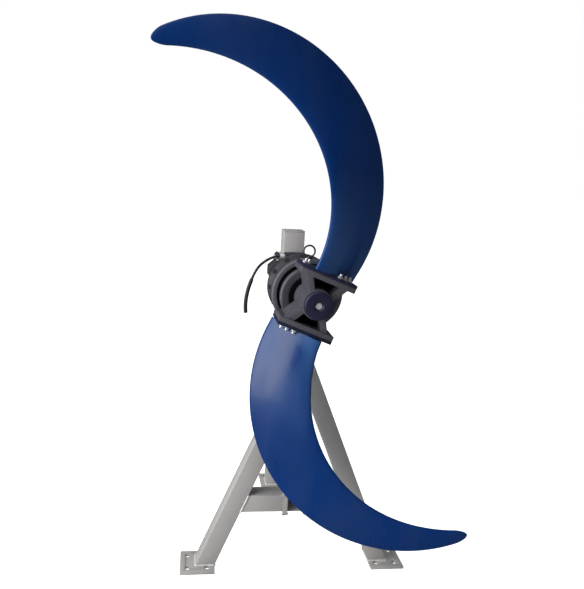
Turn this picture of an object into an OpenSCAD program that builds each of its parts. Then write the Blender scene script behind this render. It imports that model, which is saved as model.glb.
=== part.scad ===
// Low-speed submersible mixer: a two-blade banana propeller on a planetary
// geared motor, carried by a claw on the square guide post of a floor stand.
// +Z is up, the propeller faces -Y, and the origin is on the floor at the
// centre of the rear foot's anchor holes.

/* [Stand] */
// Outside width of the square guide post
post_w = 100; // [90:1:110]
// Wall of the guide post
post_wall = 6; // [4:0.5:8]
// Height of the guide post's top above the floor
post_top_z = 1506; // [1440:1:1560]
// Outside width of the leg tubes
leg_w = 80; // [60:1:90]
// Wall of the leg tubes
leg_wall = 5; // [3:0.5:8]
// Outside width of the crossbar and spine tubes
bar_w = 80; // [60:1:80]
// Wall of the crossbar and spine tubes
bar_wall = 5; // [3:0.5:8]
// Half of the clear width between the two front foot plates
foot_inner_x = 359; // [330:1:420]
// Distance from the post's axis forward to the foot plates' front edge
foot_front_y = 505; // [470:1:560]
// Distance from the post's axis back to the rear foot plate's rear edge
foot_rear_y = 373; // [340:1:430]
// Height of the crossbar's underside
bar_z = 275; // [240:1:320]
// Slope of the front legs: sideways run for each unit of height
leg_slope = 0.417; // [0.38:0.001:0.44]
// Setback of the legs behind the foot plates' front edge
leg_setback = 47; // [38:1:50]

/* [Foot plates] */
// Side of the square foot plates
plate_w = 156; // [140:1:180]
// Width of the rear foot plate
rear_plate_w = 136; // [130:1:160]
// Thickness of the foot plates
plate_t = 12; // [8:1:16]
// Anchor hole centres, in from the plate's edges
hole_inset = 34; // [28:0.5:40]
// Diameter of the anchor holes
hole_d = 22; // [18:0.5:26]

/* [Propeller] */
// Height of the propeller's axis above the floor
axis_z = 1275; // [1255:1:1290]
// Distance from the post's axis forward to the hub's face plane
hub_y = 602; // [592:1:630]
// Angle of the upper blade's root from vertical
blade_phase = 21.3; // [0:0.1:45]
// Distance of the blade seats from the axis
seat_r = 127; // [124:0.5:134]
// Radius of the blade centre line's arc
blade_arc_r = 563; // [530:1:620]
// Length of the blade along its centre line
blade_len = 1334; // [1200:1:1400]
// Chord of the blade at its root
root_chord = 232; // [200:1:255]
// Thickness of the blade at its root
root_thick = 38; // [30:1:44]
// Pitch angle of the blade at its root
root_pitch = 33; // [25:0.5:36]
// Forward sweep of the blade from root to tip
blade_rake = 210; // [150:1:240]

/* [Hub] */
// Radius of the nose cap
nose_r = 56; // [50:0.5:60]
// Length of the nose in front of the hub's face plane
nose_len = 79; // [70:1:100]
// Radius of the round hub disc
disc_r = 124; // [116:0.5:124]
// Thickness of the flat blade seats on the hub
hub_plate_t = 20; // [16:0.5:24]
// Thickness of the blades' foot flanges
foot_t = 13; // [10:0.5:16]
// Half length of the blade seats
seat_half = 115; // [110:1:120]

/* [Drive] */
// Radius of the front cover's flange
front_flange_r = 151; // [148:0.5:158]
// Radius of the flanges between gearbox and motor
rear_flange_r = 149; // [146:0.5:158]
// Outside radius of the gear housing
gear_body_r = 135; // [131:0.5:140]
// Outside radius of the motor housing
motor_r = 122; // [118:0.5:128]
// Diameter of the output shaft
shaft_d = 60; // [50:0.5:64]
// Diameter of the motor shaft
motor_shaft_d = 35; // [30:0.5:38]
// Radial clearance of each running fit
run_clear = 0.05; // [0.02:0.01:0.1]

/* [Carriage] */
// Height of the claw that rides on the guide post
claw_h = 260; // [220:1:280]
// Clearance between the claw's pads or rollers and the post
pad_clear = 0.3; // [0.3:0.1:0.5]
// Radius of the two rear guide rollers
roller_r = 28; // [24:0.5:32]
// Diameter of the roller pins
pin_d = 16; // [12:0.5:20]

/* [Cable] */
// Diameter of the cable
cable_d = 12; // [10:0.5:14]
// Diameter of the protective sleeve on its end
sleeve_d = 18; // [16:0.5:20]

/* [Hidden] */
$fn = 72;

paint = "gainsboro";
iron = "#23242a";
blue = "#123f86";
bright = "silver";
eps = 0.01;

// ---- stand layout ----
post_h = post_w / 2;
leg_y0 = -foot_front_y + leg_setback;
leg_y1 = leg_y0 + leg_w;
leg_run = leg_w * sqrt(1 + leg_slope * leg_slope);
leg_out_x = foot_inner_x + leg_run;
spine_x = bar_w / 2;
function leg_z(x0, x) = plate_t + (x0 - x) / leg_slope;
apex_z = leg_z(leg_out_x, spine_x);
bar_y0 = leg_y0 + (leg_w - bar_w) / 2;
flange_t = 8;
flange_over = 12;
flange_x = spine_x + 2 * flange_t;
strut_y1 = foot_rear_y - 48;
strut_slope = (strut_y1 - post_h) / (apex_z - plate_t);
strut_run = bar_w * sqrt(1 + strut_slope * strut_slope);

// ---- drive train layout, as distances behind the hub's face plane ----
d_disc0 = 98;
d_disc1 = 136;
d_cover0 = 146;
d_front_flange = 159;
d_gear0 = 191;
d_gear1 = 333;
d_motor1 = 493;
d_end1 = 517;
claw_plate_t = 20;
claw_side_t = 12;
d_claw = d_end1 + claw_plate_t;
d_post = hub_y - post_h;
claw_in = post_h + 12;
claw_out = claw_in + claw_side_t;
roller_y = post_h + pad_clear + roller_r;
roller_dz = claw_h / 2 - 45;
claw_chamfer = 28;
claw_back_y = roller_y + 22;

// ---- gears: two equal planetary stages ----
sun_teeth = 15;
planet_teeth = 30;
ring_teeth = 75;
stage1_m = 2;
stage2_m = 2.5;
pressure = 25;
d_s1 = [345, 365];
d_s2 = [296, 330];
planet_pin_d = 14;

// Sideways place of the guide post: its axis is this far along Y from the origin.
post_y = plate_w / 2 - foot_rear_y;
module at_post() { translate([0, post_y, 0]) children(); }
// Places a shape drawn with its axis on +Z (forwards) on the propeller's axis.
module on_axis() { translate([0, post_y - hub_y, axis_z]) rotate([90, 0, 0]) children(); }
// Round bar, and round tube, between two distances behind the hub's face plane.
module bar(d0, d1, r) { translate([0, 0, -d1]) cylinder(h = d1 - d0, r = r); }
module ring(d0, d1, ro, ri) {
    difference() { bar(d0, d1, ro); bar(d0 - 1, d1 + 1, ri); }
}
// Holes or bolts on a pitch circle.
module around(n, r, first = 0) {
    for (i = [0:n - 1]) rotate([0, 0, first + i * 360 / n]) translate([r, 0, 0]) children();
}
// Hexagon bolt along +Z with its head on the plane z = 0.
module hex_bolt(d, len) {
    cylinder(h = 0.65 * d, r = 0.92 * d, $fn = 6);
    translate([0, 0, -len]) cylinder(h = len + eps, r = d / 2, $fn = 32);
}
// Square tube along +Y.
module tube_y(w, wall, len) {
    difference() {
        translate([-w / 2, 0, 0]) cube([w, len, w]);
        translate([-w / 2 + wall, -1, wall]) cube([w - 2 * wall, len + 2, w - 2 * wall]);
    }
}

// ---- stand ----
module guide_post() {
    color(paint) at_post() difference() {
        translate([-post_h, -post_h, bar_z]) cube([post_w, post_w, post_top_z - 5 - bar_z]);
        translate([-post_h + post_wall, -post_h + post_wall, bar_z - 1])
            cube([post_w - 2 * post_wall, post_w - 2 * post_wall, post_top_z + 2]);
    }
}
module post_cap() {
    color(paint) at_post() translate([-post_h, -post_h, post_top_z - 5]) cube([post_w, post_w, 5]);
}
// Slanted tube drawn in its own plane: run outwards along +X, up along +Y.
module slant(x_in, run, x_end, slope, wall, depth) {
    function top(x) = plate_t + (x - x_end) / slope;
    wh = wall * sqrt(1 + slope * slope);
    difference() {
        linear_extrude(depth) polygon([[x_in, plate_t], [x_in + run, plate_t],
            [x_end, top(x_in + run)], [x_end, top(x_in)]]);
        translate([0, 0, wall]) linear_extrude(depth - 2 * wall)
            polygon([[x_in + wh + slope, plate_t - 1], [x_in + run - wh + slope, plate_t - 1],
                [x_end - 1, top(x_in + run - wh) + 1 / slope], [x_end - 1, top(x_in + wh) + 1 / slope]]);
    }
}
module front_leg() {
    translate([0, leg_y1, 0]) rotate([90, 0, 0])
        slant(foot_inner_x, leg_run, spine_x, leg_slope, leg_wall, leg_w);
}
module right_leg() { color(paint) at_post() front_leg(); }
module left_leg() { color(paint) at_post() mirror([1, 0, 0]) front_leg(); }
module rear_strut() {
    color(paint) at_post() translate([-bar_w / 2, 0, 0]) rotate([90, 0, 90])
        slant(strut_y1 - strut_run, strut_run, post_h, strut_slope, bar_wall, bar_w);
}
module half_crossbar() {
    function leg_x(z) = foot_inner_x - (z - plate_t) * leg_slope;
    translate([0, bar_y0 + bar_w, 0]) rotate([90, 0, 0]) difference() {
        linear_extrude(bar_w) polygon([[flange_x, bar_z], [leg_x(bar_z), bar_z],
            [leg_x(bar_z + bar_w), bar_z + bar_w], [flange_x, bar_z + bar_w]]);
        translate([0, 0, bar_wall]) linear_extrude(bar_w - 2 * bar_wall)
            polygon([[flange_x - 1, bar_z + bar_wall], [leg_x(bar_z + bar_wall) + 1, bar_z + bar_wall],
                [leg_x(bar_z + bar_w - bar_wall) + 1, bar_z + bar_w - bar_wall],
                [flange_x - 1, bar_z + bar_w - bar_wall]]);
    }
}
module right_crossbar() { color(paint) at_post() half_crossbar(); }
module left_crossbar() { color(paint) at_post() mirror([1, 0, 0]) half_crossbar(); }
module lower_spine() {
    color(paint) at_post() translate([0, bar_y0, bar_z]) tube_y(bar_w, bar_wall, -post_h - bar_y0);
}
module top_spine() {
    color(paint) at_post() translate([0, leg_y0, apex_z - bar_w]) tube_y(bar_w, bar_wall, -post_h - leg_y0);
}
module rear_tie() {
    tie_end = strut_y1 - strut_run - (bar_z + bar_w - plate_t) * strut_slope;
    color(paint) at_post() translate([0, post_h, bar_z]) tube_y(bar_w, bar_wall, tie_end - post_h);
}
module foot_plate(w) {
    difference() {
        cube([w, plate_w, plate_t]);
        for (x = [hole_inset, w - hole_inset], y = [hole_inset, plate_w - hole_inset])
            translate([x, y, -1]) cylinder(h = plate_t + 2, d = hole_d);
    }
}
module right_foot_plate() {
    color(paint) at_post() translate([foot_inner_x, -foot_front_y, 0]) foot_plate(plate_w);
}
module left_foot_plate() {
    color(paint) at_post() mirror([1, 0, 0]) translate([foot_inner_x, -foot_front_y, 0]) foot_plate(plate_w);
}
module rear_foot_plate() {
    color(paint) at_post() translate([-rear_plate_w / 2, foot_rear_y - plate_w, 0]) foot_plate(rear_plate_w);
}
flange_w = bar_w + 2 * flange_over;
joint_bolt_d = 10;
joint_bolt_at = bar_w / 2 + flange_over / 2;
// One square flange against the spine or the crossbar, pierced for its bolts.
module joint_flange(x0) {
    difference() {
        translate([x0, bar_y0 - flange_over, bar_z - flange_over]) cube([flange_t, flange_w, flange_w]);
        for (s = [-1, 1], t = [-1, 1])
            translate([x0 - 1, bar_y0 + bar_w / 2 + s * joint_bolt_at, bar_z + bar_w / 2 + t * joint_bolt_at])
                rotate([0, 90, 0]) cylinder(h = flange_t + 2, d = joint_bolt_d + 0.4, $fn = 32);
    }
}
module joint_flanges() {
    color(paint) at_post() for (m = [0, 1]) mirror([m, 0, 0]) {
        joint_flange(spine_x);
        joint_flange(spine_x + flange_t);
    }
}
module joint_bolts() {
    color(bright) at_post() for (m = [0, 1]) mirror([m, 0, 0])
        for (s = [-1, 1], t = [-1, 1])
            translate([flange_x, bar_y0 + bar_w / 2 + s * joint_bolt_at, bar_z + bar_w / 2 + t * joint_bolt_at])
                rotate([0, 90, 0]) {
                    hex_bolt(joint_bolt_d, 2 * flange_t);
                    translate([0, 0, -2 * flange_t - 6]) cylinder(h = 6, r = joint_bolt_d / 2, $fn = 32);
                }
}
module lower_stop() {
    stop_h = 28;
    over = 16;
    color(paint) at_post() translate([0, 0, axis_z - claw_h / 2 - stop_h - pad_clear]) difference() {
        translate([-post_h - over, -post_h - over, 0]) cube([post_w + 2 * over, post_w + 2 * over, stop_h]);
        translate([-post_h, -post_h, -1]) cube([post_w, post_w, stop_h + 2]);
    }
}

// ---- carriage ----
module slide_claw() {
    color(iron) at_post() translate([0, 0, axis_z - claw_h / 2]) difference() {
        union() {
            translate([-claw_out, -hub_y + d_end1, 0]) cube([2 * claw_out, claw_plate_t, claw_h]);
            for (m = [0, 1]) mirror([m, 0, 0])
                translate([claw_in, -hub_y + d_claw - eps, 0])
                    cube([claw_side_t, claw_back_y + hub_y - d_claw + eps, claw_h]);
        }
        for (s = [-1, 1])
            translate([-claw_out - 1, roller_y, claw_h / 2 + s * roller_dz]) rotate([0, 90, 0])
                cylinder(h = 2 * claw_out + 2, d = pin_d);
        for (m = [-1, 1], z = [0, claw_h]) translate([m * claw_out, -hub_y / 2, z]) rotate([0, 45, 0])
            cube([claw_chamfer * sqrt(2), 2 * hub_y, claw_chamfer * sqrt(2)], center = true);
    }
}
module slide_pads() {
    pad_h = 50;
    color("ivory") at_post() for (s = [-1, 1]) translate([0, 0, axis_z + s * roller_dz - pad_h / 2]) {
        translate([-40, -hub_y + d_claw, 0]) cube([80, d_post - d_claw - pad_clear, pad_h]);
        for (m = [0, 1]) mirror([m, 0, 0])
            translate([post_h + pad_clear, -30, 0]) cube([claw_in - post_h - pad_clear, 60, pad_h]);
    }
}
module roller_pins() {
    color(bright) at_post() for (s = [-1, 1]) translate([-claw_out, roller_y, axis_z + s * roller_dz]) rotate([0, 90, 0]) {
        cylinder(h = 2 * claw_out, d = pin_d);
        translate([0, 0, -6]) cylinder(h = 6, r = pin_d * 0.8);
        translate([0, 0, 2 * claw_out]) cylinder(h = 6, r = pin_d * 0.8);
    }
}
module roller(s) {
    roller_w = 2 * claw_in - 6;
    color("ivory") at_post() translate([-roller_w / 2, roller_y, axis_z + s * roller_dz]) rotate([0, 90, 0]) difference() {
        cylinder(h = roller_w, r = roller_r);
        translate([0, 0, -1]) cylinder(h = roller_w + 2, r = pin_d / 2 + run_clear);
    }
}
module upper_roller() { roller(1); }
module lower_roller() { roller(-1); }

// ---- housings ----
flange_bolt_d = 10;
flange_bolts = 12;
cover_rim_w = 19;
front_bolt_r = front_flange_r - 9;
rear_bolt_r = rear_flange_r - 7;
bearing_out_r = 55;
motor_bearing_r = 36;
ring2_out_r = stage2_m * ring_teeth / 2 + 14;
ring1_out_r = stage1_m * ring_teeth / 2 + 13;
stator_out_r = 100;

module front_cover() {
    color(iron) on_axis() difference() {
        rotate_extrude() polygon([[shaft_d / 2 + 2, -d_cover0], [92, -d_cover0], [96, -d_cover0 - 4],
            [96, -d_gear0 + 11], [front_flange_r - cover_rim_w, -d_gear0 + 11],
            [front_flange_r - cover_rim_w, -d_front_flange], [front_flange_r - 3, -d_front_flange],
            [front_flange_r, -d_front_flange - 3], [front_flange_r, -d_gear0],
            [bearing_out_r, -d_gear0], [bearing_out_r, -d_gear0 + 22], [shaft_d / 2 + 2, -d_gear0 + 22]]);
        bar(d_cover0 - 1, d_cover0 + 16, 46);
        around(flange_bolts, front_bolt_r, 15)
            translate([0, 0, -d_gear0 - 1]) cylinder(h = 23, d = flange_bolt_d);
        translate([-20, front_flange_r - 1, -d_gear0 - 1]) cube([40, 5, 40]);
    }
}
module gear_housing() {
    color(iron) on_axis() difference() {
        rotate_extrude() polygon([
            [ring2_out_r, -d_gear0], [front_flange_r, -d_gear0], [front_flange_r, -d_gear0 - 18],
            [gear_body_r, -d_gear0 - 24], [gear_body_r, -d_gear1 + 28], [rear_flange_r, -d_gear1 + 22],
            [rear_flange_r, -d_gear1], [ring2_out_r, -d_gear1], [ring2_out_r, -275],
            [bearing_out_r, -275], [bearing_out_r, -252], [shaft_d / 2 + 4, -252],
            [shaft_d / 2 + 4, -246], [ring2_out_r, -246]]);
        around(flange_bolts, front_bolt_r, 15)
            translate([0, 0, -d_gear0 - 30]) {
                cylinder(h = 31, d = flange_bolt_d);
                cylinder(h = 12, r = flange_bolt_d);
            }
        around(flange_bolts, rear_bolt_r, 0) {
            translate([0, 0, -d_gear1 - 1]) cylinder(h = 40, d = flange_bolt_d);
            translate([0, 0, -d_gear1 + 22]) cylinder(h = 12, r = flange_bolt_d);
        }
        for (a = [-150, -30]) rotate([0, 0, a]) translate([gear_body_r - 40, 0, -236])
            rotate([0, 90, 0]) cylinder(h = 60, d = 20);
    }
}
module motor_housing() {
    color(iron) on_axis() difference() {
        rotate_extrude() polygon([
            [ring1_out_r, -d_gear1], [rear_flange_r, -d_gear1], [rear_flange_r, -d_gear1 - 16],
            [motor_r, -d_gear1 - 22], [motor_r, -d_motor1], [stator_out_r, -d_motor1],
            [stator_out_r, -392], [motor_bearing_r, -392], [motor_bearing_r, -376],
            [motor_shaft_d / 2 + 3, -376], [motor_shaft_d / 2 + 3, -370], [ring1_out_r, -370]]);
        around(flange_bolts, rear_bolt_r, 0)
            translate([0, 0, -d_gear1 - 30]) cylinder(h = 31, d = flange_bolt_d);
        around(8, motor_r - 12, 22.5)
            translate([0, 0, -d_motor1 - 1]) cylinder(h = 25, d = 10);
    }
}
module motor_end_cover() {
    color(iron) on_axis() difference() {
        bar(d_motor1, d_end1, motor_r);
        bar(d_motor1 - 1, d_motor1 + 14, motor_bearing_r);
        around(8, motor_r - 12, 22.5)
            translate([0, 0, -d_end1 - 1]) cylinder(h = 40, d = 10);
    }
}
box_d0 = 357;
box_d1 = 441;
box_x0 = -112;
box_x1 = -46;
box_top = 107;
lid_t = 5;
module terminal_box() {
    color(iron) on_axis() difference() {
        translate([0, 0, -box_d1]) linear_extrude(box_d1 - box_d0)
            polygon([[box_x0 - 28, 40], [box_x1, 40], [box_x1, box_top], [box_x0, box_top],
                [box_x0 - 28, box_top - 24]]);
        translate([box_x0 + 6, 90, -box_d1 + 8]) cube([box_x1 - box_x0 - 12, 40, box_d1 - box_d0 - 16]);
        bar(box_d0 - 1, box_d1 + 1, motor_r);
    }
}
module terminal_box_lid() {
    color(iron) on_axis() difference() {
        union() {
            translate([box_x0, box_top, -box_d1]) cube([box_x1 - box_x0, lid_t, box_d1 - box_d0]);
            translate([gland_x, box_top + lid_t - eps, -cable_depth - 13]) cube([box_x1 - gland_x, 27, 26]);
        }
        bar(box_d0 - 1, box_d1 + 1, motor_r);
    }
}
module lid_bolts() {
    color(bright) on_axis() for (x = [box_x0 + 9, (box_x0 + box_x1) / 2, box_x1 - 9], d = [box_d0 + 9, box_d1 - 9])
        translate([x, box_top + lid_t, -d]) rotate([-90, 0, 0]) cylinder(h = 6, r = 6, $fn = 6);
}
gland_x = box_x1 - 22;
gland_len = 22;
cable_y = box_top + lid_t + 15;
cable_depth = 399;
module cable_gland() {
    color(bright) on_axis() translate([gland_x, cable_y, -cable_depth]) rotate([0, -90, 0]) {
        cylinder(h = 8, r = 12, $fn = 6);
        translate([0, 0, 8]) cylinder(h = gland_len - 8, r = 9);
    }
}
// Route of the cable: across the box, then down beside the motor. Each point is
// sideways from the propeller's axis, up from it, and back from the hub's face.
cable_route = [
    [-90, 127, 399], [-101, 127, 399], [-123, 120, 399], [-144, 110, 399], [-163, 97, 398],
    [-180, 82, 397], [-194, 63, 395], [-205, 43, 393], [-214, 22, 391], [-222, 0, 389],
    [-229, -22, 388], [-234, -44, 386], [-238, -67, 385], [-240, -90, 383], [-240, -113, 382],
    [-238, -136, 381]];
sleeve_from = 8;
function tangent(p, i) = let(a = p[max(i - 1, 0)], b = p[min(i + 1, len(p) - 1)]) (b - a) / norm(b - a);
// Tube of n sides swept along points; each ring stands square to the route.
module swept(p, r, n = 10) {
    m = len(p);
    rings = [for (i = [0:m - 1]) let(t = tangent(p, i), u0 = cross(t, [0, 0, 1]), u = u0 / norm(u0),
        v = cross(t, u)) for (k = [0:n - 1]) p[i] + r * (u * cos(360 * k / n) + v * sin(360 * k / n))];
    polyhedron(points = rings, faces = concat(
        [[for (k = [0:n - 1]) k]],
        [for (i = [0:m - 2], k = [0:n - 1]) [i * n + k, (i + 1) * n + k, (i + 1) * n + (k + 1) % n]],
        [for (i = [0:m - 2], k = [0:n - 1]) [i * n + k, (i + 1) * n + (k + 1) % n, i * n + (k + 1) % n]],
        [[for (k = [n - 1:-1:0]) (m - 1) * n + k]]));
}
function placed(i, j) = [for (k = [i:j]) let(c = cable_route[k]) [c[0], post_y + c[2] - hub_y, axis_z + c[1]]];
module cable() { color("#151515") swept(placed(0, sleeve_from), cable_d / 2); }
module cable_sleeve() {
    color("#151515") swept(placed(sleeve_from, len(cable_route) - 1), sleeve_d / 2);
}
module eye_bolt() {
    ring_r = 24;
    color(bright) translate([0, post_y - hub_y + d_gear0 - 17, axis_z + front_flange_r - 1]) {
        cylinder(h = 7, r = 14);
        translate([0, 0, 5]) cylinder(h = 5, r = 8);
        translate([0, 0, 7 + ring_r]) rotate([90, 0, 0]) rotate_extrude()
            translate([ring_r, 0]) circle(r = 4, $fn = 24);
    }
}
module housing_bolts() {
    color("dimgray") on_axis() {
        around(flange_bolts, front_bolt_r, 15) translate([0, 0, -d_gear0 - 18])
            rotate([180, 0, 0]) hex_bolt(flange_bolt_d, 38);
        around(flange_bolts, rear_bolt_r, 0) translate([0, 0, -d_gear1 + 22]) hex_bolt(flange_bolt_d, 37);
    }
}
module oil_plugs() {
    color(bright) on_axis() for (a = [-150, -30]) rotate([0, 0, a])
        translate([ring2_out_r + 2, 0, -236]) rotate([0, 90, 0]) {
            cylinder(h = gear_body_r - ring2_out_r - 2, d = 20);
            translate([0, 0, gear_body_r - ring2_out_r - 2]) cylinder(h = 8, r = 14, $fn = 6);
        }
}

// ---- motor ----
d_core = [405, 468];
module stator_core() { color("gray") on_axis() ring(d_core[0], d_core[1], stator_out_r, 62); }
module stator_windings() {
    color("chocolate") on_axis() {
        ring(d_core[0] - 12, d_core[0], 92, 66);
        ring(d_core[1], d_core[1] + 20, 92, 66);
    }
}
module rotor_core() { color("dimgray") on_axis() ring(d_core[0], d_core[1], 60, motor_shaft_d / 2); }
module motor_bearing(d0) {
    color(bright) on_axis() ring(d0, d0 + 14, motor_bearing_r, motor_shaft_d / 2 + run_clear);
}
module front_motor_bearing() { motor_bearing(376 + 1); }
module rear_motor_bearing() { motor_bearing(d_motor1 - 1); }
module motor_shaft() {
    color(bright) on_axis() {
        bar(366, d_motor1 + 13, motor_shaft_d / 2);
        translate([0, 0, -366 - eps]) linear_extrude(366 - d_s1[0]) gear(sun_teeth, stage1_m);
    }
}

// ---- gears ----
function involute(rb, r) = r <= rb ? 0 : sqrt(r * r / rb / rb - 1) * 180 / PI - acos(rb / r);
function half_tooth(z, m, r, play) = let(rp = m * z / 2, rb = rp * cos(pressure))
    (90 - play) / z + involute(rb, rp) - involute(rb, r);
// Involute spur gear outline; play is the backlash as a share of a tooth, in degrees.
module gear(z, m, add = 0.9, ded = 1.2, play = 3) {
    rp = m * z / 2;
    r0 = rp - ded * m;
    r1 = max(r0 + 0.05, rp * cos(pressure) + 0.05);
    r2 = rp + add * m;
    flank = [r0, r1, (r1 + rp) / 2, rp, (rp + r2) / 2, r2];
    polygon([for (i = [0:z - 1]) for (s = [-1, 1]) for (k = [0:len(flank) - 1])
        let(r = s < 0 ? flank[k] : flank[len(flank) - 1 - k], a = i * 360 / z + s * half_tooth(z, m, r, play))
        [r * cos(a), r * sin(a)]]);
}
module ring_gear(m, d, out_r) {
    translate([0, 0, -d[1]]) linear_extrude(d[1] - d[0]) difference() {
        circle(r = out_r);
        rotate(180 / ring_teeth) gear(ring_teeth, m, 1.2, 0.9, -3);
    }
}
module stage1_ring_gear() { color("slategray") on_axis() ring_gear(stage1_m, d_s1, ring1_out_r); }
module stage2_ring_gear() { color("slategray") on_axis() ring_gear(stage2_m, d_s2, ring2_out_r); }
function centre_r(m) = m * (sun_teeth + planet_teeth) / 2;
module planet(m, d, a) {
    color("slategray") on_axis() rotate(a) translate([centre_r(m), 0, -d[1] + 1]) difference() {
        rotate(180 + 180 / planet_teeth) linear_extrude(d[1] - d[0] - 2) gear(planet_teeth, m);
        translate([0, 0, -1]) cylinder(h = d[1] - d[0], r = planet_pin_d / 2 + run_clear);
    }
}
module stage1_planet_a() { planet(stage1_m, d_s1, 0); }
module stage1_planet_b() { planet(stage1_m, d_s1, 120); }
module stage1_planet_c() { planet(stage1_m, d_s1, 240); }
module stage2_planet_a() { planet(stage2_m, d_s2, 0); }
module stage2_planet_b() { planet(stage2_m, d_s2, 120); }
module stage2_planet_c() { planet(stage2_m, d_s2, 240); }
module carrier_pins(m, d) {
    around(3, centre_r(m)) bar(d[0] - 2, d[1] - 1, planet_pin_d / 2);
}
module stage1_carrier() {
    color(bright) on_axis() {
        bar(d_s2[1] + 4, d_s1[0] - 1, centre_r(stage1_m) + 14);
        carrier_pins(stage1_m, d_s1);
        translate([0, 0, -d_s2[1] - 5]) linear_extrude(d_s2[1] + 5 - d_s2[0] - 2) gear(sun_teeth, stage2_m);
    }
}
module shaft_bearing(d0) { color(bright) on_axis() ring(d0, d0 + 20, bearing_out_r, shaft_d / 2 + run_clear); }
module front_shaft_bearing() { shaft_bearing(d_gear0 - 21); }
module rear_shaft_bearing() { shaft_bearing(253); }
module shaft_seal() { color("peru") on_axis() ring(d_cover0 + 2, d_cover0 + 15.5, 46, shaft_d / 2 + run_clear); }
module output_shaft() {
    color(bright) on_axis() {
        bar(-50, 280, shaft_d / 2);
        bar(280, d_s2[0] - 2, centre_r(stage2_m) + 16);
        carrier_pins(stage2_m, d_s2);
    }
}

// ---- propeller ----
plate_d0 = -50;
plate_d1 = d_disc0 + 10;
foot_d0 = -52;
foot_d1 = 98;
foot_in_r = seat_r - foot_t;
blade_bolt_d = 12;
// Bolt places on the upper blade's foot: along the seat, and behind the hub's face.
blade_bolt_at = [[-96, 30], [-72, 76], [40, -34], [66, -18], [88, -6], [20, 80]];
blade_bolt_head = 17;
module bolt_holes(d) {
    for (p = blade_bolt_at) translate([p[0], foot_in_r - hub_plate_t - 6, -p[1]]) rotate([-90, 0, 0])
        cylinder(h = 70, d = d, $fn = 32);
}
module half_hub() {
    rib_top = foot_in_r - hub_plate_t + 1;
    difference() {
        union() {
            translate([-seat_half, foot_in_r - hub_plate_t, -plate_d1])
                cube([2 * seat_half, hub_plate_t, plate_d1 - plate_d0]);
            for (m = [0, 1]) mirror([m, 0, 0]) translate([0, 0, -d_disc0 - 30]) linear_extrude(d_disc0 + 24 - plate_d0)
                polygon([[28, 40], [50, 30], [88, rib_top], [60, rib_top]]);
        }
        bolt_holes(blade_bolt_d);
    }
}
module hub_spider() {
    color(iron) on_axis() rotate(-blade_phase) difference() {
        union() {
            rotate_extrude() polygon([[0, -d_disc1], [disc_r - 8, -d_disc1], [disc_r, -d_disc1 + 8],
                [disc_r, -d_disc0 - 4], [disc_r - 4, -d_disc0], [disc_r - 10, -d_disc0], [90, -d_disc0 - 6],
                [88, -d_disc0 - 24], [68, -d_disc0 - 24], [66, -60], [60, nose_len - 24], [0, nose_len - 24]]);
            half_hub();
            rotate(180) half_hub();
        }
        bar(-nose_len, d_disc1 + 1, shaft_d / 2);
    }
}
module nose_cap() {
    color(iron) on_axis() rotate_extrude() polygon([[9, nose_len - 24], [nose_r, nose_len - 24],
        [nose_r, nose_len - 4], [nose_r - 3, nose_len], [19, nose_len], [16, nose_len - 3],
        [16, nose_len - 15], [9, nose_len - 15]]);
}
module nose_bolt() {
    color(bright) on_axis() {
        translate([0, 0, nose_len - 15]) cylinder(h = 10, r = 14, $fn = 6);
        translate([0, 0, 50]) cylinder(h = nose_len - 65, r = 9, $fn = 32);
    }
}
module foot_flange() {
    difference() {
        translate([-seat_half, foot_in_r, -foot_d1]) cube([2 * seat_half, foot_t, foot_d1 - foot_d0]);
        bolt_holes(blade_bolt_d);
    }
}
module blade_feet() {
    color(blue) on_axis() rotate(-blade_phase) { foot_flange(); rotate(180) foot_flange(); }
}
module blade_bolts() {
    shank = foot_t + hub_plate_t;
    color(bright) on_axis() rotate(-blade_phase) for (h = [0, 180]) rotate(h) for (p = blade_bolt_at)
        translate([p[0], seat_r, -p[1]]) rotate([-90, 0, 0]) {
            hex_bolt(blade_bolt_d, shank);
            cylinder(h = 2.5, r = blade_bolt_d, $fn = 32);
            cylinder(h = blade_bolt_head, d = blade_bolt_d, $fn = 32);
        }
}
// Blade: stations from root (t = 0) to tip (t = 1), each a blunt-edged section.
root_x = 26;
root_heading = 4;
tip_thick = 14;
tip_chord = 44;
swell = 218;
tip_round = 0.035;
stations = 40;
section_points = 20;
function station_t(i) = let(n = stations - 6)
    i <= n ? (1 - tip_round) * i / n : 1 - tip_round * (1 - sin(90 * (i - n) / 6)) * 1;
function heading(t) = root_heading - t * blade_len / blade_arc_r * 180 / PI;
function mid_x(t) = root_x + blade_arc_r * (cos(heading(t)) - cos(root_heading));
function mid_y(t) = seat_r + 16 - blade_arc_r * (sin(heading(t)) - sin(root_heading));
function rake(t) = 5 + blade_rake * t;
function pitch(t) = root_pitch - 24 * t - 6 * t * t;
function tip_shape(t) = t <= 1 - tip_round ? 1 : sqrt(max(0.004, 1 - pow((t - 1 + tip_round) / tip_round, 2)));
function chord(t) = (root_chord + swell * t - (root_chord + swell - tip_chord) * t * t) * tip_shape(t);
function thick(t) = (root_thick + (tip_thick - root_thick) * t) * (0.3 + 0.7 * tip_shape(t));
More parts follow.
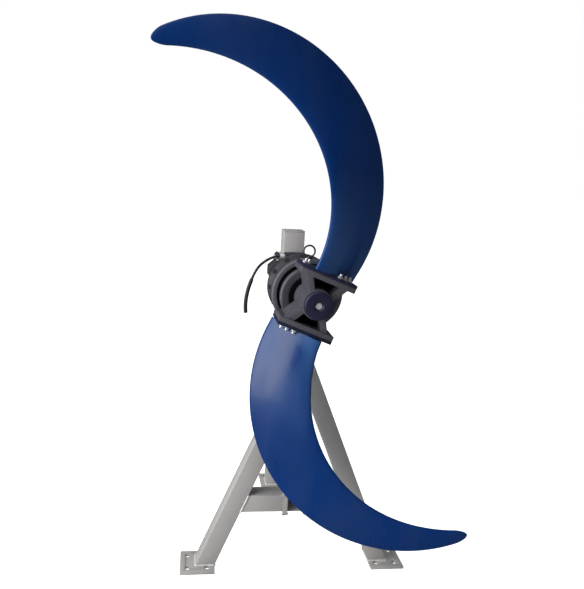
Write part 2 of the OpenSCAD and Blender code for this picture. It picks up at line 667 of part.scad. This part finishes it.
// Section point k: along the chord from the concave edge (-) to the convex edge (+), and out of the face.
function section(t, k) = let(a = 360 * k / section_points, c = cos(a), s = sin(a),
    u = sign(c) * pow(abs(c), 0.75), taper = 0.66 - 0.34 * u)
    [chord(t) / 2 * u, thick(t) / 2 * taper * sign(s) * pow(abs(s), 0.8) + 0.03 * chord(t) * (1 - u * u)];
function blade_point(i, k) = let(t = station_t(i), q = section(t, k), h = heading(t), b = pitch(t),
    across = q[0] * cos(b) + q[1] * sin(b))
    [mid_x(t) + across * cos(h), i == 0 ? seat_r : mid_y(t) - across * sin(h),
        rake(t) - q[0] * sin(b) + q[1] * cos(b)];
module blade() {
    n = section_points;
    polyhedron(points = [for (i = [0:stations], k = [0:n - 1]) blade_point(i, k)], faces = concat(
        [[for (k = [n - 1:-1:0]) k]],
        [for (i = [0:stations - 1], k = [0:n - 1]) [i * n + k, i * n + (k + 1) % n, (i + 1) * n + (k + 1) % n]],
        [for (i = [0:stations - 1], k = [0:n - 1]) [i * n + k, (i + 1) * n + (k + 1) % n, (i + 1) * n + k]],
        [[for (k = [0:n - 1]) stations * n + k]]));
}
module upper_blade() { color(blue) on_axis() rotate(-blade_phase) blade(); }
module lower_blade() { color(blue) on_axis() rotate(180 - blade_phase) blade(); }

guide_post();
post_cap();
left_leg();
right_leg();
rear_strut();
left_crossbar();
right_crossbar();
lower_spine();
top_spine();
rear_tie();
left_foot_plate();
right_foot_plate();
rear_foot_plate();
joint_flanges();
joint_bolts();
lower_stop();
slide_claw();
slide_pads();
roller_pins();
upper_roller();
lower_roller();
motor_housing();
motor_end_cover();
gear_housing();
front_cover();
terminal_box();
terminal_box_lid();
lid_bolts();
cable_gland();
cable();
cable_sleeve();
eye_bolt();
housing_bolts();
oil_plugs();
stator_core();
stator_windings();
front_motor_bearing();
rear_motor_bearing();
rotor_core();
motor_shaft();
stage1_ring_gear();
stage2_ring_gear();
stage1_carrier();
stage1_planet_a();
stage1_planet_b();
stage1_planet_c();
stage2_planet_a();
stage2_planet_b();
stage2_planet_c();
front_shaft_bearing();
rear_shaft_bearing();
shaft_seal();
output_shaft();
hub_spider();
nose_cap();
nose_bolt();
upper_blade();
lower_blade();
blade_feet();
blade_bolts();
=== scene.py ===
import bpy, bmesh
from math import sin, cos, pi, radians, sqrt
from mathutils import Vector, Matrix


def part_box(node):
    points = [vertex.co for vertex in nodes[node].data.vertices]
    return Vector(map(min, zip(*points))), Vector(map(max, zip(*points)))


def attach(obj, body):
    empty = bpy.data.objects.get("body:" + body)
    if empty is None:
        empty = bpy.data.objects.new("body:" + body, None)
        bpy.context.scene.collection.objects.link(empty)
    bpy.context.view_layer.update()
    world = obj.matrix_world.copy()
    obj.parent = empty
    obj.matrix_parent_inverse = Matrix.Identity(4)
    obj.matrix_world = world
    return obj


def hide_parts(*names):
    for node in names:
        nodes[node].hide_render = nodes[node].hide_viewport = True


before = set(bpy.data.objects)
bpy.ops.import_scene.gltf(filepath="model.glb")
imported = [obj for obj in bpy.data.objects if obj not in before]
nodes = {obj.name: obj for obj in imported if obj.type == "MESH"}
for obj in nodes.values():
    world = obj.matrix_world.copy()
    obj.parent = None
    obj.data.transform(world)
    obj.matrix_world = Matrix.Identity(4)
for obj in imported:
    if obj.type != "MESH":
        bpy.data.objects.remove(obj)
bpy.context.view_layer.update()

# ---- Viewpoint ----
# A standing viewer in front of the mixer and to its left, looking a little
# down. The camera is rolled by two degrees and its lens is shifted sideways.
camera_data = bpy.data.cameras.new("studio_camera")
camera = bpy.data.objects.new("studio_camera", camera_data)
bpy.context.collection.objects.link(camera)
bpy.context.scene.camera = camera
turn, down, roll = radians(6.057), radians(11.324), radians(2.346)
ahead = Vector((sin(turn) * cos(down), cos(turn) * cos(down), -sin(down)))
level = Vector((cos(turn), -sin(turn), 0))
over = level.cross(ahead)
side = cos(roll) * level + sin(roll) * over
over = -sin(roll) * level + cos(roll) * over
eye = Matrix.Translation((-0.4794, -3.1026, 1.7458))
camera.matrix_world = eye @ Matrix((side, over, -ahead)).transposed().to_4x4()
camera_data.lens = 35.4927
camera_data.sensor_width = 36
camera_data.shift_x = 0.0651952
camera_data.clip_start = 0.05
camera_data.clip_end = 60

# ---- Floor stand ----
# Square steel tubes welded to flat foot plates, painted light grey: a guide
# post in the middle, two splayed front legs, a strut to the rear foot, and a
# crossbar in three lengths bolted together through square flanges.


def math_node(g, op, *values, clamp=False):
    m = g.nodes.new("ShaderNodeMath")
    m.operation, m.use_clamp = op, clamp
    for i, v in enumerate(values):
        if isinstance(v, (int, float)):
            m.inputs[i].default_value = v
        else:
            g.links.new(v, m.inputs[i])
    return m.outputs[0]


def map_range(g, x, **ends):
    m = g.nodes.new("ShaderNodeMapRange")
    g.links.new(x, m.inputs["Value"])
    for k, v in ends.items():
        socket = m.inputs[k.replace("_", " ")]
        if isinstance(v, (int, float)):
            socket.default_value = v
        else:
            g.links.new(v, socket)
    return m.outputs["Result"]


def mix_colour(g, factor, a, b):
    m = g.nodes.new("ShaderNodeMix")
    m.data_type = "RGBA"
    for k, v in (("Factor", factor), ("A", a), ("B", b)):
        if isinstance(v, tuple):
            m.inputs[k].default_value = v
        else:
            g.links.new(v, m.inputs[k])
    return m.outputs["Result"]


# Mottling, grime and small scuffs for every finish: it takes a clean colour
# and a grime colour and gives back colour, roughness and a height for bumps.
def weathered_group():
    g = bpy.data.node_groups.new("weathered_surface", "ShaderNodeTree")
    socket = g.interface.new_socket
    socket("Clean", in_out="INPUT", socket_type="NodeSocketColor")
    socket("Grime", in_out="INPUT", socket_type="NodeSocketColor")
    for name in ("Mottle size", "Mottle", "Grime amount", "Grain size", "Rough low", "Rough high"):
        socket(name, in_out="INPUT", socket_type="NodeSocketFloat")
    socket("Color", in_out="OUTPUT", socket_type="NodeSocketColor")
    socket("Roughness", in_out="OUTPUT", socket_type="NodeSocketFloat")
    socket("Height", in_out="OUTPUT", socket_type="NodeSocketFloat")
    a, z = g.nodes.new("NodeGroupInput"), g.nodes.new("NodeGroupOutput")
    where = g.nodes.new("ShaderNodeTexCoord")

    def noise(scale, detail, rough=0.55):
        n = g.nodes.new("ShaderNodeTexNoise")
        g.links.new(where.outputs["Object"], n.inputs["Vector"])
        if isinstance(scale, str):
            g.links.new(a.outputs[scale], n.inputs["Scale"])
        else:
            n.inputs["Scale"].default_value = scale
        n.inputs["Detail"].default_value = detail
        n.inputs["Roughness"].default_value = rough
        return n.outputs["Fac"]

    cloud, patch = noise("Mottle size", 5), noise(14.0, 8, 0.65)
    speck, grain = noise(160.0, 3, 0.7), noise("Grain size", 4)
    shade = math_node(g, "MULTIPLY", math_node(g, "SUBTRACT", cloud, 0.5), a.outputs["Mottle"])
    tint = g.nodes.new("ShaderNodeHueSaturation")
    g.links.new(a.outputs["Clean"], tint.inputs["Color"])
    g.links.new(math_node(g, "ADD", math_node(g, "MULTIPLY", shade, 2.0), 1.0), tint.inputs["Value"])
    patches = map_range(g, patch, From_Min=0.52, From_Max=0.75)
    specks = map_range(g, speck, From_Min=0.66, From_Max=0.74, To_Max=0.8)
    spots = math_node(g, "ADD", patches, specks)
    dirty = math_node(g, "MULTIPLY", spots, a.outputs["Grime amount"], clamp=True)
    g.links.new(mix_colour(g, dirty, tint.outputs["Color"], a.outputs["Grime"]), z.inputs["Color"])
    worn = math_node(g, "ADD", math_node(g, "MULTIPLY", patch, 0.6), math_node(g, "MULTIPLY", grain, 0.4))
    rough = map_range(g, worn, From_Min=0.35, From_Max=0.65, To_Min=a.outputs["Rough low"],
                      To_Max=a.outputs["Rough high"])
    g.links.new(rough, z.inputs["Roughness"])
    g.links.new(math_node(g, "ADD", grain, math_node(g, "MULTIPLY", dirty, 0.6)), z.inputs["Height"])
    return g


weathered = weathered_group()


# mottle is (size, amount), rough (low, high) and bump (strength, distance).
def finish_of(name, clean, grime, mottle, grime_amount, grain_size, rough, bump, **shader):
    m = bpy.data.materials.new(name)
    m.use_nodes = True
    t = m.node_tree
    b = t.nodes["Principled BSDF"]
    s = t.nodes.new("ShaderNodeGroup")
    s.node_tree = weathered
    for k, v in (("Clean", (*clean, 1)), ("Grime", (*grime, 1)), ("Mottle size", mottle[0]),
                 ("Mottle", mottle[1]), ("Grime amount", grime_amount), ("Grain size", grain_size),
                 ("Rough low", rough[0]), ("Rough high", rough[1])):
        s.inputs[k].default_value = v
    t.links.new(s.outputs["Color"], b.inputs["Base Color"])
    t.links.new(s.outputs["Roughness"], b.inputs["Roughness"])
    d = t.nodes.new("ShaderNodeBump")
    d.inputs["Strength"].default_value, d.inputs["Distance"].default_value = bump
    t.links.new(s.outputs["Height"], d.inputs["Height"])
    t.links.new(d.outputs["Normal"], b.inputs["Normal"])
    for k, v in shader.items():
        b.inputs[k.replace("_", " ")].default_value = v
    return m


# A designed solid keeps its shape: its loose triangles are merged, its edges
# are broken by a small bevel, and its flat faces stay flat.
def dress(name, material, bevel=None):
    o = nodes[name]
    o.data.materials.clear()
    o.data.materials.append(material)
    w = o.modifiers.new("merge", "WELD")
    w.merge_threshold = 0.00002
    if bevel:
        b = o.modifiers.new("edges", "BEVEL")
        b.width, b.segments, b.limit_method, b.angle_limit = bevel, 2, "ANGLE", radians(40)
        b.harden_normals = False
    o.data.shade_smooth()
    e = o.modifiers.new("sharp edges", "EDGE_SPLIT")
    e.split_angle = radians(32)


stand_paint = finish_of("stand_paint", (0.42, 0.405, 0.39), (0.20, 0.17, 0.14), (3.5, 0.12), 0.16, 420,
                        (0.42, 0.6), (0.12, 0.0004), Coat_Weight=0.05)
for name in ("guide_post", "left_leg", "right_leg", "rear_strut", "left_crossbar", "right_crossbar",
             "lower_spine", "top_spine", "rear_tie", "lower_stop"):
    dress(name, stand_paint, 0.004)
for name in ("left_foot_plate", "right_foot_plate", "rear_foot_plate", "joint_flanges", "post_cap"):
    dress(name, stand_paint, 0.0012)

# Weld beads run round each foot and each joint of the stand. They are rough,
# a few millimetres wide, and were painted over thinly, so they look brighter.
weld_bead = finish_of("weld_bead", (0.66, 0.65, 0.63), (0.25, 0.2, 0.15), (20, 0.2), 0.3, 260, (0.25, 0.45),
                      (0.3, 0.0004))
bead_step = 0.004
foot_bead_r, tube_bead_r = 0.0045, 0.004
foot_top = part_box("left_foot_plate")[1][2]
leg_foot_in, leg_foot_w, leg_slope = 0.359, 0.0867, 0.417
strut_foot_l = 0.084


def piece(name, bm, body, material, replaces=()):
    mesh = bpy.data.meshes.new(name)
    bm.to_mesh(mesh)
    bm.free()
    o = bpy.data.objects.new(name, mesh)
    bpy.context.collection.objects.link(o)
    mesh.materials.append(material)
    mesh.shade_smooth()
    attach(o, body)
    if replaces:
        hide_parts(*replaces)
    return o


# A round bar along a path: one ring of points is drawn from each point of
# the path to the next, turned as little as it can be, and capped.
def tube_along(bm, path, radii, sides=20):
    u = (path[1] - path[0]).orthogonal().normalized()
    loop = bmesh.ops.create_circle(bm, segments=sides, radius=1, cap_ends=False)["verts"]
    edges = list({e for w in loop for e in w.link_edges})
    last = len(path) - 1
    for i, p in enumerate(path):
        t = (path[min(i + 1, last)] - path[max(i - 1, 0)]).normalized()
        u = (u - t * u.dot(t)).normalized()
        v = t.cross(u)
        if i:
            made = bmesh.ops.extrude_edge_only(bm, edges=edges)["geom"]
            loop = [g for g in made if isinstance(g, bmesh.types.BMVert)]
            lines = [g for g in made if isinstance(g, bmesh.types.BMEdge)]
            edges = [g for g in lines if all(w in loop for w in g.verts)]
        for k, w in enumerate(loop):
            a = 2 * pi * k / sides
            w.co = p + radii[i] * (u * cos(a) + v * sin(a))
        if i in (0, last):
            bmesh.ops.contextual_create(bm, geom=edges)
    bmesh.ops.recalc_face_normals(bm, faces=bm.faces[:])


def bead(bm, corners, size):
    loop = corners + corners[:1]
    path = []
    for a, b in zip(loop, loop[1:]):
        n = max(2, int((b - a).length / bead_step))
        path += [a + (b - a) * (k / n) for k in range(n)]
    path.append(loop[-1])
    ripple = [size * (1 + 0.16 * sin(k * 1.7) + 0.1 * sin(k * 0.61)) for k in range(len(path))]
    tube_along(bm, path, ripple, 8)


def foot_bead(bm, x0, x1, y0, y1):
    z = foot_top + 0.001
    corners = ((x0, y0), (x1, y0), (x1, y1), (x0, y1))
    bead(bm, [Vector((x, y, z)) for x, y in corners], foot_bead_r)


bm = bmesh.new()
for name, out in (("left_leg", -1), ("right_leg", 1)):
    lo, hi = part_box(name)
    foot_bead(bm, leg_foot_in * out, (leg_foot_in + leg_foot_w) * out, lo[1], hi[1])
lo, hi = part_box("rear_strut")
foot_bead(bm, lo[0], hi[0], hi[1] - strut_foot_l, hi[1])
for name, out in (("left_crossbar", -1), ("right_crossbar", 1)):
    lo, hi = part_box(name)
    corners = ((lo[1], lo[2]), (lo[1], hi[2]), (hi[1], hi[2]), (hi[1], lo[2]))
    reach = {z: (leg_foot_in - (z - foot_top) * leg_slope) * out for z in (lo[2], hi[2])}
    bead(bm, [Vector((reach[z], y, z)) for y, z in corners], tube_bead_r)
for name, end in (("lower_spine", 1), ("top_spine", 1), ("rear_tie", 0)):
    lo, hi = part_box(name)
    y = (lo[1], hi[1])[end]
    corners = ((lo[0], lo[2]), (hi[0], lo[2]), (hi[0], hi[2]), (lo[0], hi[2]))
    bead(bm, [Vector((x, y, z)) for x, z in corners], tube_bead_r)
piece("stand_welds", bm, "stand", weld_bead)

bright_steel = finish_of("bright_steel", (0.80, 0.81, 0.83), (0.3, 0.28, 0.25), (40, 0.15), 0.15, 700,
                         (0.2, 0.38), (0.06, 0.0004), Metallic=0.55)
dress("joint_bolts", bright_steel, 0.0006)

# ---- Mixer castings ----
# The motor, gear and cover housings and the claw are grey iron castings with
# a black coating, slightly glossy, with the grain of the sand mould showing.
# The cover and the hub are turned on a lathe and have a ring-shaped recess,
# darkened in colour by painted shade.
nose_low, nose_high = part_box("nose_cap")
nose_front = 0.079
axis_z = (nose_low[2] + nose_high[2]) / 2
hub_y = nose_low[1] + nose_front


# Patterns placed by their distance from the mixer's axis: turning rings, the
# mask of a recess that takes painted shade, a fade away from the hub, and streaks drawn out upwards.
def banded_group():
    g = bpy.data.node_groups.new("banded_face", "ShaderNodeTree")
    for name, value in (("Axis height", axis_z), ("Pitch", 0.0022), ("Recess from", 0.0),
                        ("Recess to", 0.0), ("Recess behind", hub_y), ("Fade from", 0.15),
                        ("Fade to", 0.55), ("Streak size", 6.0), ("Streak stretch", 0.2)):
        socket = g.interface.new_socket(name, in_out="INPUT", socket_type="NodeSocketFloat")
        socket.default_value = value
    for name in ("Rings", "Recess", "Streaks", "Root"):
        g.interface.new_socket(name, in_out="OUTPUT", socket_type="NodeSocketFloat")
    a, z = g.nodes.new("NodeGroupInput"), g.nodes.new("NodeGroupOutput")
    where = g.nodes.new("ShaderNodeTexCoord")
    split = g.nodes.new("ShaderNodeSeparateXYZ")
    g.links.new(where.outputs["Object"], split.inputs[0])
    x, y = split.outputs["X"], split.outputs["Y"]
    up = math_node(g, "SUBTRACT", split.outputs["Z"], a.outputs["Axis height"])
    squares = math_node(g, "ADD", math_node(g, "MULTIPLY", up, up), math_node(g, "MULTIPLY", x, x))
    out = math_node(g, "SQRT", squares)
    turns = math_node(g, "DIVIDE", math_node(g, "MULTIPLY", out, 2 * pi), a.outputs["Pitch"])
    g.links.new(math_node(g, "SINE", turns), z.inputs["Rings"])
    # The recess mask marks where the painted shade goes.
    past = math_node(g, "GREATER_THAN", out, a.outputs["Recess from"])
    short = math_node(g, "LESS_THAN", out, a.outputs["Recess to"])
    deep = math_node(g, "GREATER_THAN", y, a.outputs["Recess behind"])
    between = math_node(g, "MULTIPLY", past, short)
    g.links.new(math_node(g, "MULTIPLY", between, deep), z.inputs["Recess"])
    root = map_range(g, out, From_Min=a.outputs["Fade from"], From_Max=a.outputs["Fade to"],
                     To_Min=1, To_Max=0)
    g.links.new(root, z.inputs["Root"])
    pull = g.nodes.new("ShaderNodeCombineXYZ")
    g.links.new(x, pull.inputs["X"])
    g.links.new(y, pull.inputs["Y"])
    g.links.new(math_node(g, "MULTIPLY", split.outputs["Z"], a.outputs["Streak stretch"]), pull.inputs["Z"])
    n = g.nodes.new("ShaderNodeTexNoise")
    g.links.new(pull.outputs[0], n.inputs["Vector"])
    g.links.new(a.outputs["Streak size"], n.inputs["Scale"])
    n.inputs["Detail"].default_value = 4
    n.inputs["Distortion"].default_value = 0.8
    g.links.new(map_range(g, n.outputs["Fac"], From_Min=0.36, From_Max=0.66), z.inputs["Streaks"])
    return g


banded = banded_group()


def banded_node(m, **values):
    n = m.node_tree.nodes.new("ShaderNodeGroup")
    n.node_tree = banded
    for k, v in values.items():
        n.inputs[k.replace("_", " ")].default_value = v
    return n


# Painted shade: the recess is coloured near-black, and the rings are added to its bumps.
painted_recess_shade = (0.006, 0.006, 0.008, 1)


def turn_face(m, inner, outer, behind, depth):
    t = m.node_tree
    b, bump = t.nodes["Principled BSDF"], t.nodes["Bump"]
    n = banded_node(m, Recess_from=inner, Recess_to=outer, Recess_behind=behind)
    plain = b.inputs["Base Color"].links[0].from_socket
    t.links.new(mix_colour(t, n.outputs["Recess"], plain, painted_recess_shade), b.inputs["Base Color"])
    grain = bump.inputs["Height"].links[0].from_socket
    t.links.new(math_node(t, "MULTIPLY_ADD", n.outputs["Rings"], depth, grain), bump.inputs["Height"])


cast_bump = (0.35, 0.0006)
black_casting = finish_of("black_casting", (0.036, 0.035, 0.045), (0.10, 0.097, 0.10), (9, 0.4), 0.3, 330,
                          (0.42, 0.62), cast_bump)
turned_cover = finish_of("turned_cover", (0.105, 0.103, 0.122), (0.08, 0.078, 0.08), (9, 0.35), 0.35, 330,
                         (0.35, 0.55), cast_bump)
turn_face(turned_cover, 0.094, 0.131, hub_y + 0.162, 0.5)
turned_hub = finish_of("turned_hub", (0.082, 0.080, 0.096), (0.07, 0.068, 0.07), (9, 0.35), 0.35, 330,
                       (0.35, 0.55), cast_bump)
turn_face(turned_hub, 0.067, 0.089, hub_y + 0.101, 0.6)
navy_cap = finish_of("navy_cap", (0.012, 0.013, 0.04), (0.05, 0.05, 0.07), (20, 0.3), 0.2, 330, (0.35, 0.5),
                     (0.2, 0.0005))
dark_zinc = finish_of("dark_zinc", (0.10, 0.10, 0.11), (0.05, 0.045, 0.04), (40, 0.2), 0.3, 500, (0.35, 0.5),
                      (0.1, 0.0004), Metallic=0.8)
for name in ("slide_claw", "motor_housing", "motor_end_cover", "gear_housing", "terminal_box",
             "terminal_box_lid"):
    dress(name, black_casting, 0.0012)
dress("front_cover", turned_cover, 0.0012)
dress("hub_spider", turned_hub, 0.0012)
dress("nose_cap", navy_cap, 0.0008)
dress("blade_feet", navy_cap, 0.001)
dress("eye_bolt", dark_zinc)
dress("housing_bolts", black_casting)
for name in ("lid_bolts", "cable_gland", "oil_plugs", "roller_pins", "nose_bolt", "blade_bolts"):
    dress(name, bright_steel)

# ---- Power cable ----
# A stiff round cable leaves the gland on the terminal box, bends down beside
# the motor and hangs there. A thicker rubber sleeve covers its cut end.
# Points across, up and back from the hub, in millimetres.
cable_points = [(-90, 127, 399), (-101, 127, 399), (-123, 120, 399), (-144, 110, 399), (-163, 97, 398),
                (-180, 82, 397), (-194, 63, 395), (-205, 43, 393), (-214, 22, 391), (-222, 0, 389),
                (-229, -22, 388), (-234, -44, 386), (-238, -67, 385), (-240, -90, 383),
                (-240, -113, 382), (-238, -136, 381)]
cable_path = [Vector((x / 1000, hub_y + d / 1000, axis_z + z / 1000)) for x, z, d in cable_points]
cable_r = 0.006
sleeve_from = 8
sleeve_r, sleeve_swell = 0.0068, 0.0022
cable_rubber = finish_of("cable_rubber", (0.012, 0.012, 0.014), (0.06, 0.055, 0.05), (30, 0.3), 0.25, 500,
                         (0.45, 0.65), (0.25, 0.0004))


def smooth_path(points, steps):
    out = []
    for i in range(len(points) - 1):
        p0, p1, p2 = points[max(i - 1, 0)], points[i], points[i + 1]
        p3 = points[min(i + 2, len(points) - 1)]
        for k in range(steps):
            s = k / steps
            square = (2 * p0 - 5 * p1 + 4 * p2 - p3) * s * s
            cube = (3 * p1 - p0 - 3 * p2 + p3) * s ** 3
            out.append(0.5 * (2 * p1 + (p2 - p0) * s + square + cube))
    return out + [points[-1]]


curve = bpy.data.curves.new("power_cable", "CURVE")
curve.dimensions = "3D"
spline = curve.splines.new("POLY")
spline_points = smooth_path(cable_path, 4)
spline.points.add(len(spline_points) - 1)
for p, q in zip(spline.points, spline_points):
    p.co = (*q, 1)
curve.bevel_depth = cable_r
curve.bevel_resolution = 5
curve.use_fill_caps = True
power_cable = bpy.data.objects.new("power_cable", curve)
bpy.context.collection.objects.link(power_cable)
curve.materials.append(cable_rubber)
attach(power_cable, "carriage")
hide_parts("cable")
bm = bmesh.new()
sleeve_points = smooth_path(cable_path[sleeve_from:], 5)
n = len(sleeve_points)
tube_along(bm, sleeve_points, [sleeve_r + sleeve_swell * min(1, i / 2, n - i - 0.5) for i in range(n)])
sleeve = piece("end_sleeve", bm, "carriage", cable_rubber, replaces=("cable_sleeve",))

# ---- Guide pads and rollers ----
# Ivory polymer slides and rollers keep the claw from grinding on the post.
guide_polymer = finish_of("guide_polymer", (0.62, 0.58, 0.48), (0.2, 0.17, 0.13), (12, 0.1), 0.2, 300,
                          (0.35, 0.5), (0.1, 0.0004))
for name in ("slide_pads", "upper_roller", "lower_roller"):
    dress(name, guide_polymer, 0.001)

# ---- Drive inside the housings ----
# Ground steel gears and laminated cores, enamelled copper windings, and a
# tan sealing ring. They show only when the housings are opened.
gear_steel = finish_of("gear_steel", (0.36, 0.37, 0.39), (0.1, 0.09, 0.07), (30, 0.15), 0.2, 600,
                       (0.25, 0.45), (0.1, 0.0004), Metallic=1.0)
winding_copper = finish_of("winding_copper", (0.45, 0.17, 0.06), (0.12, 0.05, 0.02), (60, 0.3), 0.3, 200,
                           (0.3, 0.5), (0.4, 0.0004))
seal_ring = finish_of("seal_ring", (0.28, 0.15, 0.07), (0.1, 0.06, 0.04), (30, 0.2), 0.2, 300, (0.4, 0.6),
                      (0.1, 0.0004))
for name in nodes:
    if name.startswith(("stage1_ring", "stage2_ring", "stage1_planet", "stage2_planet", "stator_core",
                        "rotor_core")):
        dress(name, gear_steel)
for name in ("output_shaft", "motor_shaft", "stage1_carrier", "front_motor_bearing", "rear_motor_bearing",
             "front_shaft_bearing", "rear_shaft_bearing"):
    dress(name, bright_steel)
dress("stator_windings", winding_copper)
dress("shaft_seal", seal_ring)

# ---- Blades ----
# Two banana-shaped blades moulded in glass-fibre with a glossy blue gel coat.
# Each starts square on its foot, thick and blunt along the hollow edge, and
# thins, twists and sweeps forward towards a small rounded tip.
gel_rough = (0.22, 0.5)
gel_coat = finish_of("gel_coat", (0.0015, 0.028, 0.145), (0.001, 0.014, 0.085), (2.2, 0.35), 0.10, 14,
                     gel_rough, (0.03, 0.0015), Coat_Weight=0.12, Coat_Roughness=0.14,
                     Specular_IOR_Level=0.24)
# Painted sheen: a lighter blue mixed into the gel coat by the hub, standing in for reflected light.
painted_sheen = (0.028, 0.095, 0.255, 1)
sheen_at_tip, sheen_at_root, sheen_between_streaks = 0.03, 0.75, 0.2


# Handling and weather dull the gel coat in streaks. A lighter blue painted
# sheen is mixed into its colour in the same streaks, most of all by the hub.
def dull_and_paint_sheen(m):
    t = m.node_tree
    b = t.nodes["Principled BSDF"]
    n = banded_node(m, Streak_size=7.0, Streak_stretch=0.2)
    gloss = map_range(t, n.outputs["Streaks"], To_Min=gel_rough[0], To_Max=gel_rough[1])
    t.links.new(gloss, b.inputs["Roughness"])
    near = map_range(t, n.outputs["Root"], To_Min=sheen_at_tip, To_Max=sheen_at_root)
    streaks = map_range(t, n.outputs["Streaks"], To_Min=sheen_between_streaks)
    plain = b.inputs["Base Color"].links[0].from_socket
    sheen_mask = math_node(t, "MULTIPLY", near, streaks)
    t.links.new(mix_colour(t, sheen_mask, plain, painted_sheen), b.inputs["Base Color"])


dull_and_paint_sheen(gel_coat)

# The upper blade leans clockwise from upright, and the lower one is opposite.
phase = radians(21.3)
arc_r, span = 0.563, 1.334
root_heading = radians(4)
root_x, root_y, seat_r = 0.026, 0.143, 0.127
root_thick, tip_thick = 0.038, 0.014
camber = 0.03
tip_round = 0.035
sides, stations, tip_stations = 48, 90, 14


def sign(v):
    return 1 if v >= 0 else -1


# A point of the skin: t runs from root to tip, and c and s are the cosine and
# sine of the way round the section. It gives across, out and forward.
def along_blade(t, c, s):
    h = root_heading - t * span / arc_r
    shape = 1 if t <= 1 - tip_round else sqrt(max(0.0, 1 - ((t - 1 + tip_round) / tip_round) ** 2))
    chord = (0.232 + 0.218 * t - 0.406 * t * t) * shape
    thick = (root_thick + (tip_thick - root_thick) * t) * (0.3 + 0.7 * shape)
    pitch = radians(33 - 24 * t - 6 * t * t)
    rake = 0.005 + 0.21 * t
    u = sign(c) * abs(c) ** 0.75
    q0 = chord / 2 * u
    q1 = thick / 2 * (0.66 - 0.34 * u) * sign(s) * abs(s) ** 0.8 + camber * chord * (1 - u * u)
    across = q0 * cos(pitch) + q1 * sin(pitch)
    x = root_x + arc_r * (cos(h) - cos(root_heading)) + across * cos(h)
    y = root_y - arc_r * (sin(h) - sin(root_heading)) - across * sin(h)
    return Vector((x, seat_r if t == 0 else y, rake - q0 * sin(pitch) + q1 * cos(pitch)))


def blade(name, turn):
    bm = bmesh.new()
    ring = bmesh.ops.create_circle(bm, segments=sides, radius=1)["verts"]
    edges = list({e for w in ring for e in w.link_edges})
    loops, first = [ring], edges
    for i in range(stations):
        made = bmesh.ops.extrude_edge_only(bm, edges=edges)["geom"]
        loops.append([g for g in made if isinstance(g, bmesh.types.BMVert)])
        ringset = set(loops[-1])
        edges = [g for g in made if isinstance(g, bmesh.types.BMEdge) and set(g.verts) <= ringset]
    for i, loop in enumerate(loops):
        straight = stations - tip_stations
        t = (1 - tip_round) * i / straight
        if i > straight:
            t = 1 - tip_round * (1 - sin(pi / 2 * (i - straight) / tip_stations))
        for k, w in enumerate(loop):
            a = 2 * pi * k / sides
            p = along_blade(t, cos(a), sin(a))
            x, z = p.x * cos(turn) + p.y * sin(turn), p.y * cos(turn) - p.x * sin(turn)
            w.co = Vector((x, hub_y - p.z, axis_z + z))
    bmesh.ops.contextual_create(bm, geom=first)
    bmesh.ops.contextual_create(bm, geom=edges)
    bmesh.ops.remove_doubles(bm, verts=bm.verts[:], dist=0.00005)
    bmesh.ops.recalc_face_normals(bm, faces=bm.faces[:])
    o = piece(name + "_shell", bm, "propeller", gel_coat, replaces=(name,))
    e = o.modifiers.new("root edge", "EDGE_SPLIT")
    e.split_angle = radians(50)


blade("upper_blade", phase)
blade("lower_blade", phase + pi)

# ---- Studio ----
# A pale floor that looks evenly white, a broad soft light overhead and a
# smaller, stronger one in front at the left. The air gives a dim grey light.
bm = bmesh.new()
bmesh.ops.create_grid(bm, x_segments=2, y_segments=2, size=60)
mesh = bpy.data.meshes.new("studio_floor")
bm.to_mesh(mesh)
bm.free()
floor = bpy.data.objects.new("studio_floor", mesh)
bpy.context.collection.objects.link(floor)
floor_paint = bpy.data.materials.new("pale_floor")
floor_paint.use_nodes = True
ft = floor_paint.node_tree
fb = ft.nodes["Principled BSDF"]
fb.inputs["Base Color"].default_value = (0.93, 0.93, 0.93, 1)
fb.inputs["Roughness"].default_value = 0.9
fb.inputs["Emission Color"].default_value = (1, 1, 1, 1)
seen = ft.nodes.new("ShaderNodeLightPath").outputs["Is Camera Ray"]
ft.links.new(math_node(ft, "MULTIPLY", seen, 0.93), fb.inputs["Emission Strength"])
mesh.materials.append(floor_paint)
floor.visible_glossy = False


def softbox(name, where, at, size, power):
    d = bpy.data.lights.new(name, "AREA")
    d.shape, d.size, d.size_y, d.energy = "RECTANGLE", size[0], size[1], power
    o = bpy.data.objects.new(name, d)
    bpy.context.collection.objects.link(o)
    o.location = where
    o.rotation_euler = (Vector(at) - Vector(where)).to_track_quat("-Z", "Y").to_euler()


softbox("overhead", (-2, -1, 9), (0, 0, 0.6), (9, 9), 380)
softbox("front_left", (-6.0, -3.6, 2.7), (0, -0.8, 1.1), (4.2, 6.4), 560)
world = bpy.data.worlds.new("studio_air")
bpy.context.scene.world = world
world.use_nodes = True
wt = world.node_tree
back = wt.nodes["Background"]
seen = wt.nodes.new("ShaderNodeLightPath")
air = mix_colour(wt, seen.outputs["Is Glossy Ray"], (0.12, 0.13, 0.15, 1), (0.06, 0.06, 0.06, 1))
air = mix_colour(wt, seen.outputs["Is Camera Ray"], air, (1, 1, 1, 1))
wt.links.new(air, back.inputs["Color"])
bpy.context.scene.view_settings.view_transform = "Standard"
